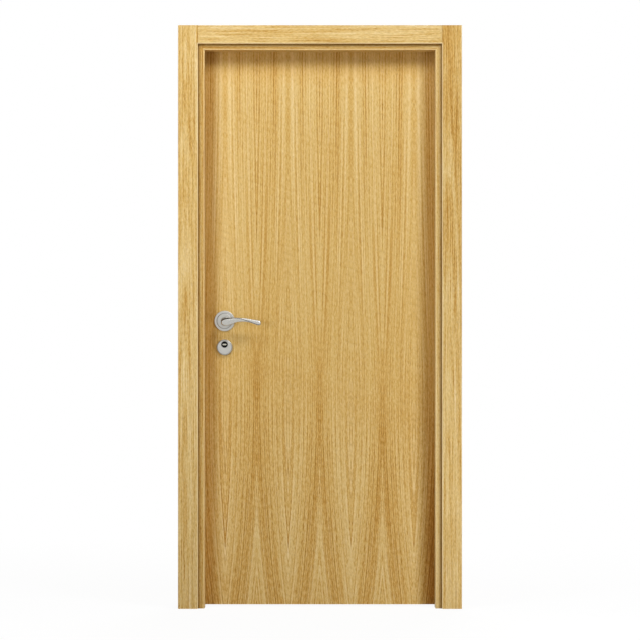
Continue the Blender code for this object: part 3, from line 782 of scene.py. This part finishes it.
def turn_bar(side, face, facing, finish):
    """The pale bar across the black cylinder, with round ends and softened edges."""
    shape = bmesh.new()
    bmesh.ops.create_circle(shape, cap_ends=True, segments=BAR_STEPS, radius=BAR_HEIGHT / 2.0)
    apart = (BAR_LENGTH - BAR_HEIGHT) / 2.0
    for vertex in shape.verts:
        vertex.co.x += apart if vertex.co.x > 0.0 else -apart
    raised = bmesh.ops.extrude_face_region(shape, geom=list(shape.faces))
    lifted = [part for part in raised["geom"] if isinstance(part, bmesh.types.BMVert)]
    bmesh.ops.translate(shape, verts=lifted, vec=(0.0, 0.0, BAR_PROUD))
    rims = [edge for edge in shape.edges if all(vertex in lifted for vertex in edge.verts)]
    bmesh.ops.bevel(shape, geom=rims, offset=BAR_EDGE, segments=3, profile=0.5, affect="EDGES", material=-1)
    turn = Matrix.Rotation(radians(-90.0 * facing), 4, "X")
    spot = Vector((CYLINDER_CENTRE.x, face, CYLINDER_CENTRE.z))
    bmesh.ops.transform(shape, verts=shape.verts, matrix=Matrix.Translation(spot) @ turn)
    return piece(side + "_turn_bar", shape, [finish], "leaf")


# Screws

def cross_recess(head, radius):
    """The cross sunk in a screw's head, open at the top: a grid without its corners, with raised walls."""
    reach = radius * CROSS_REACH
    bmesh.ops.create_grid(head, x_segments=3, y_segments=3, size=reach)
    middles = [(face, face.calc_center_median()) for face in head.faces]
    corners = [face for face, middle in middles if min(abs(middle.x), abs(middle.y)) > reach / 3.0]
    bmesh.ops.delete(head, geom=corners, context="FACES")
    for vertex in head.verts:
        if abs(vertex.co.x) < reach / 2.0:
            vertex.co.x *= CROSS_PINCH
        if abs(vertex.co.y) < reach / 2.0:
            vertex.co.y *= CROSS_PINCH
    rim = [edge for edge in head.edges if edge.is_boundary]
    walls = bmesh.ops.extrude_edge_only(head, edges=rim)
    top = [part for part in walls["geom"] if isinstance(part, bmesh.types.BMEdge)]
    upper = {vertex for edge in top for vertex in edge.verts}
    bmesh.ops.translate(head, verts=list(upper), vec=(0.0, 0.0, radius * CROSS_DEPTH))


def screw_head(shape, centre, normal, radius, turn):
    """A countersunk head with a cross recess, set nearly flush in a plate."""
    head = bmesh.new()
    cross_recess(head, radius)
    opening = [edge for edge in head.edges if edge.is_boundary]
    circle = bmesh.ops.create_circle(head, cap_ends=False, segments=len(opening), radius=radius * HEAD_FACE)
    for vertex in circle["verts"]:
        vertex.co.z = radius * CROSS_DEPTH
    outer = [edge for edge in head.edges if all(vertex in circle["verts"] for vertex in edge.verts)]
    bmesh.ops.bridge_loops(head, edges=opening + outer)
    skirt = bmesh.ops.extrude_edge_only(head, edges=outer)
    for part in skirt["geom"]:
        if isinstance(part, bmesh.types.BMVert):
            part.co.x /= HEAD_FACE
            part.co.y /= HEAD_FACE
            part.co.z = radius * HEAD_EDGE
    facing = Vector(normal).to_track_quat("Z", "Y").to_matrix().to_4x4()
    place = Matrix.Translation(Vector(centre) - Vector(normal) * radius * HEAD_SUNK)
    bmesh.ops.transform(head, verts=head.verts, matrix=place @ facing @ Matrix.Rotation(turn, 4, "Z"))
    take_in(shape, head)


def screws(name, places, normal, radius, finish, body):
    shape = bmesh.new()
    for number, place in enumerate(places):
        screw_head(shape, place, normal, radius, FIRST_TURN + NEXT_TURN * number)
    return piece(name, shape, [finish], body)


# Lever

# Each station: (reach, standing out, height, half height, half depth, crease angle, half the crease).
# Lengths in millimetres from the spindle's middle and the rose's face, angles in degrees from facing outwards
LEVER_STATIONS = [
    (-10.9, 33.6, -5.0, 1.2, 0.7, 20, 20),
    (-10.1, 33.9, -4.6, 6.2, 3.6, 36, 20),
    (-6.6, 34.6, -3.8, 10.4, 6.0, 50, 19),
    (0.0, 35.4, -3.3, 13.7, 7.4, 55, 18),
    (9.0, 36.2, -3.0, 14.6, 7.6, 57, 17),
    (19.0, 36.8, -1.8, 13.8, 7.2, 60, 16),
    (29.0, 37.0, 0.4, 11.8, 6.6, 62, 14),
    (39.0, 37.0, 2.6, 9.6, 6.0, 58, 12),
    (49.0, 37.0, 4.0, 8.0, 5.6, 47, 10),
    (60.0, 36.8, 4.2, 7.3, 5.2, 28, 8),
    (71.0, 36.6, 3.9, 7.0, 5.0, 0, 8),
    (83.0, 36.4, 2.6, 6.8, 4.8, -24, 8),
    (95.0, 36.6, -0.2, 7.0, 4.8, -41, 8),
    (107.0, 37.0, -3.2, 8.1, 5.0, -48, 9),
    (117.0, 37.6, -5.8, 9.2, 5.4, -55, 9),
    (125.0, 38.0, -7.0, 8.6, 5.0, -60, 9),
    (129.0, 38.1, -7.4, 6.2, 3.6, -63, 9),
    (130.3, 38.1, -7.4, 1.0, 0.7, -64, 9),
]
MILLIMETRE = 0.001
# Round each station, in degrees from the crease. The crease itself takes one column and its lips four
TURNS_BEYOND_CREASE = [35, 60, 85, 110, 135, 160, 180, 200, 225, 250, 275, 300, 325]
CREASE_COLUMNS = 5
LIP_TURN = 9
# How deep the crease is in millimetres, and at most as a share of the half depth
CREASE_DEPTH = 2.2
CREASE_SHARE = 0.35
SMOOTHINGS = 2
NECK_STEPS = 48
# Section of the neck between rose and lever: (radius, height) in metres
NECK_PROFILE = [
    (0.0119, -0.0050), (0.0119, -0.0004), (0.0116, 0.0004), (0.0106, 0.0014),
    (0.0099, 0.0030), (0.0096, 0.0060), (0.0096, 0.0120), (0.0096, 0.0200),
    (0.0097, 0.0270), (0.0094, 0.0310), (0.0070, 0.0340), (0.0, 0.0350),
]


def lever_point(station, column):
    """A point of the lever's skin: reach, standing out and height. Column 0 runs along the crease."""
    reach, out, height, half_height, half_depth, start, lip = station
    turns = [0, lip, lip + LIP_TURN, *TURNS_BEYOND_CREASE, -lip - LIP_TURN, -lip]
    angle = radians(start + turns[column])
    sunk = 0.0 if column else min(CREASE_DEPTH, half_depth * CREASE_SHARE)
    up = sin(angle) * (half_height - sunk)
    outwards = cos(angle) * (half_depth - sunk)
    return reach, out + outwards, height + up


def lever_form(side, base, facing, finish, crease):
    """A lever that starts as a broad comma over its neck, slims to a bar and flares at the tip."""
    around = len(TURNS_BEYOND_CREASE) + CREASE_COLUMNS
    last = len(LEVER_STATIONS) - 1
    shape = bmesh.new()
    bmesh.ops.create_grid(shape, x_segments=around, y_segments=last, size=1.0)
    columns = {}
    for vertex in shape.verts:
        column = round((vertex.co.x + 1.0) / 2.0 * around) % around
        number = round((vertex.co.y + 1.0) / 2.0 * last)
        reach, out, height = lever_point(LEVER_STATIONS[number], column)
        vertex.co = (
            LEVER_AXIS.x + reach * MILLIMETRE,
            base + facing * out * MILLIMETRE,
            LEVER_AXIS.z + height * MILLIMETRE,
        )
        columns[vertex] = column
    for face in shape.faces:
        held = {columns[vertex] for vertex in face.verts}
        face.material_index = 1 if 0 in held else 0
    bmesh.ops.remove_doubles(shape, verts=shape.verts, dist=MERGE_DISTANCE)
    open_ends = [edge for edge in shape.edges if edge.is_boundary]
    bmesh.ops.holes_fill(shape, edges=open_ends, sides=0)
    take_in(shape, turned(NECK_PROFILE, LEVER_AXIS, base, facing, NECK_STEPS))
    made = piece(side + "_lever_form", shape, [finish, crease], "levers", NONE_SHARP)
    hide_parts(side + "_lever")
    smooth = made.modifiers.new("smooth_form", "SUBSURF")
    smooth.levels = SMOOTHINGS
    smooth.render_levels = SMOOTHINGS
    return made


# Light and camera

# Soft boxes: place from the door's centre line, height that it aims at, width and height, power, and whether
# polished metal mirrors it
SOFTBOXES = {
    "overhead_box": ((0.0, -1.5, 3.4), 1.55, (2.0, 1.0), 12.6, True),
    "upper_left_box": ((-1.5, -1.6, 3.2), 1.55, (1.1, 1.1), 22.6, False),
    "upper_right_box": ((1.9, -2.1, 3.9), 1.55, (1.1, 1.2), 67.0, True),
    "left_box": ((-1.45, -1.4, 1.2), 1.2, (0.6, 1.0), 11.6, False),
    "right_box": ((1.9, -1.6, 0.5), 0.5, (0.6, 0.7), 11.4, False),
    "low_right_box": ((1.25, -0.95, 0.35), 0.5, (0.4, 0.5), 2.9, False),
    "back_box": ((0.6, 3.4, 2.6), 1.2, (2.6, 2.2), 125.0, True),
}
WHITE = (1.0, 1.0, 1.0, 1.0)
FAINT_LIGHT = 0.03
# Floor: its paint as light bounces off it and as it is seen, the share of plain white over that paint near
# the door, and the distances over which plain white takes over
BOUNCING_PAINT = (0.50, 0.50, 0.50, 1.0)
SEEN_PAINT = (0.94, 0.94, 0.94, 1.0)
WHITE_NEAR_DOOR = 0.93
ALL_WHITE_FROM = (0.8, 2.6)
FLOOR_HALF_WIDTH = 30.0


def set_camera():
    data = bpy.data.cameras.new("camera")
    data.sensor_width = SENSOR_WIDTH
    data.lens = SENSOR_WIDTH * CAMERA_DISTANCE / PICTURE_WIDTH
    camera = bpy.data.objects.new("camera", data)
    camera.location = (DOOR_CENTRE, -CASING_FACE - CAMERA_DISTANCE, CAMERA_HEIGHT)
    camera.rotation_euler = (radians(90.0), 0.0, 0.0)
    bpy.context.scene.collection.objects.link(camera)
    bpy.context.scene.camera = camera


def softbox(name, place, target, width, height, power, mirrored):
    """A lamp like a soft box. Only a mirrored one shows in the polished metal."""
    data = bpy.data.lights.new(name, "AREA")
    data.shape = "RECTANGLE"
    data.size = width
    data.size_y = height
    data.energy = power
    lamp = bpy.data.objects.new(name, data)
    lamp.location = place
    lamp.rotation_euler = (Vector(target) - Vector(place)).to_track_quat("-Z", "Y").to_euler()
    lamp.visible_camera = False
    lamp.visible_glossy = mirrored
    bpy.context.scene.collection.objects.link(lamp)


def set_lights():
    """Soft boxes high in front, lower ones at both sides, and a large one behind the wall."""
    for name, ((right, out, up), aim, (width, height), power, mirrored) in SOFTBOXES.items():
        place = (DOOR_CENTRE + right, out, up)
        target = (DOOR_CENTRE, LEAF_FRONT if out < 0.0 else LEAF_BACK, aim)
        softbox(name, place, target, width, height, power, mirrored)


def seen_ray(finish):
    """1 for what the camera sees straight, mirrored or through glass, and 0 for light that bounces."""
    straight = finish.node("ShaderNodeLightPath", {}, {}, "Is Camera Ray")
    mirrored = finish.node("ShaderNodeLightPath", {}, {}, "Is Glossy Ray")
    through = finish.node("ShaderNodeLightPath", {}, {}, "Is Transmission Ray")
    return straight.at_least(mirrored).at_least(through)


def set_surroundings():
    """White all round for what the camera and polished metal see, and a faint white light for the rest."""
    studio = Finish("studio", bpy.data.worlds)
    bpy.context.scene.world = studio.made
    plain = studio.node("ShaderNodeBackground", {}, {"Color": WHITE, "Strength": FAINT_LIGHT})
    white = studio.node("ShaderNodeBackground", {}, {"Color": WHITE, "Strength": 1.0})
    shared = studio.node("ShaderNodeMixShader", {}, {0: seen_ray(studio), 1: plain, 2: white})
    studio.done(shared, "ShaderNodeOutputWorld")


def floor_finish():
    """A white floor that keeps a faint shadow near the door and is plain white further off."""
    finish = Finish("floor_white")
    x, y, z = finish.place()
    right = x - DOOR_CENTRE
    away = (right * right + y * y).root()
    seen = seen_ray(finish)
    white = finish.node("ShaderNodeEmission", {}, {"Color": WHITE, "Strength": 1.0})
    paint = finish.blend(seen, BOUNCING_PAINT, SEEN_PAINT)
    matt = finish.node("ShaderNodeBsdfDiffuse", {}, {"Color": paint})
    share = seen * (WHITE_NEAR_DOOR + (1.0 - WHITE_NEAR_DOOR) * away.between(*ALL_WHITE_FROM))
    return finish.done(finish.node("ShaderNodeMixShader", {}, {0: share, 1: matt, 2: white}))


def lay_floor():
    shape = bmesh.new()
    bmesh.ops.create_grid(shape, x_segments=2, y_segments=2, size=FLOOR_HALF_WIDTH)
    mesh = bpy.data.meshes.new("floor")
    shape.to_mesh(mesh)
    shape.free()
    floor = bpy.data.objects.new("floor", mesh)
    bpy.context.scene.collection.objects.link(floor)
    mesh.materials.append(floor_finish())


# The door, dressed

def dress(finish, *names):
    """Gives CAD nodes their finish."""
    for name in names:
        mesh = NODES[name].data
        mesh.materials.clear()
        mesh.materials.append(finish)


def dress_woodwork():
    left_oak = casing_oak("left_casing_oak", pith=-0.922, start=0.25, seed=0.11, tone=0.524)
    right_oak = casing_oak("right_casing_oak", pith=0.004, start=0.10, seed=0.73, tone=0.542)
    head_oak = casing_oak(
        "head_casing_oak", pith=2.060, start=-1.90, seed=0.52, tone=0.547, upright=False, arching=0.26,
    )
    dress(leaf_oak(), "leaf_front_skin", "leaf_back_skin")
    dress(lipping_oak(seed=0.37), "leaf_lock_lipping", "leaf_hinge_lipping")
    dress(chipboard(), "leaf_core")
    dress(left_oak, "front_strike_side_casing", "back_strike_side_casing")
    dress(right_oak, "front_hinge_side_casing", "back_hinge_side_casing")
    dress(head_oak, "front_head_casing", "back_head_casing")
    dress(lining_oak("jamb_oak", 0.450, 0.572, seed=0.91), "hinge_jamb", "strike_jamb")
    dress(lining_oak("head_jamb_oak", 0.435, 0.470, seed=0.29, upright=False), "head_jamb")
    dress(seal_rubber(), "hinge_side_seal", "strike_side_seal", "head_seal")


def dress_ironmongery():
    hinge_steel = satin_metal("hinge_steel", STEEL, 0.34)
    for height in ("top", "middle", "bottom"):
        dress(hinge_steel, height + "_hinge_jamb_half", height + "_hinge_leaf_half")
    dress(satin_metal("lock_steel", STEEL, 0.32), "lock_faceplate", "strike_plate")
    dress(satin_metal("bolt_nickel", NICKEL, 0.28, "x"), "latch_bolt", "dead_bolt", "lever_spindle")


def fit_lever_sets():
    rose_nickel = turned_metal("rose_nickel", NICKEL, 0.42, LEVER_AXIS, ROSE_STEP_SHADE)
    key_rose_nickel = turned_metal("key_rose_nickel", NICKEL, 0.34, KEY_CENTRE, KEY_ROSE_STEP_SHADE)
    lever_nickel = satin_metal("lever_nickel", NICKEL, 0.27, "x")
    crease = dark_crease()
    for side, face, facing in (("front", LEAF_FRONT, -1.0), ("back", LEAF_BACK, 1.0)):
        base = face + facing * SKIN_FIT
        lever_rose(side, base, facing, rose_nickel)
        key_rose(side, base, facing, key_rose_nickel)
        lever_form(side, base + facing * ROSE_THICKNESS, facing, lever_nickel, crease)


def fit_cylinder():
    key_cylinder(black_plastic())
    bar_nickel = satin_metal("bar_nickel", BAR_METAL, 0.42, "x")
    turn_bar("front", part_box("key_cylinder")[0].y + DISH_DEPTH, -1.0, bar_nickel)
    turn_bar("back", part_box("key_cylinder")[1].y - DISH_DEPTH, 1.0, bar_nickel)


def plate_ends(x, low, high):
    """Places of the two screws of a long plate, near its ends."""
    middle = (low.y + high.y) / 2.0
    return [(x, middle, z) for z in (low.z + LOCK_SCREW_INSET, high.z - LOCK_SCREW_INSET)]


def fit_screws():
    screw_steel = satin_metal("screw_steel", STEEL, 0.30)
    for height in ("top", "middle", "bottom"):
        low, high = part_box(height + "_hinge_leaf_half")
        middle = (low.z + high.z) / 2.0
        screws(
            height + "_hinge_jamb_screws", [(HINGE_JAMB_PLATE, y, middle + z) for y, z in HINGE_SCREWS],
            (-1.0, 0.0, 0.0), HINGE_SCREW_RADIUS, screw_steel, "lining",
        )
        screws(
            height + "_hinge_leaf_screws", [(HINGE_LEAF_PLATE, y, middle + z) for y, z in HINGE_SCREWS],
            (1.0, 0.0, 0.0), HINGE_SCREW_RADIUS, screw_steel, "leaf",
        )
    low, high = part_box("lock_faceplate")
    screws(
        "faceplate_screws", plate_ends(low.x, low, high),
        (-1.0, 0.0, 0.0), LOCK_SCREW_RADIUS, screw_steel, "leaf",
    )
    low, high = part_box("strike_plate")
    screws(
        "strike_screws", plate_ends(high.x, low, high),
        (1.0, 0.0, 0.0), LOCK_SCREW_RADIUS, screw_steel, "lining",
    )


set_camera()
set_surroundings()
set_lights()
lay_floor()
dress_woodwork()
dress_ironmongery()
fit_lever_sets()
fit_cylinder()
fit_screws()

bpy.context.scene.view_settings.view_transform = "Standard"
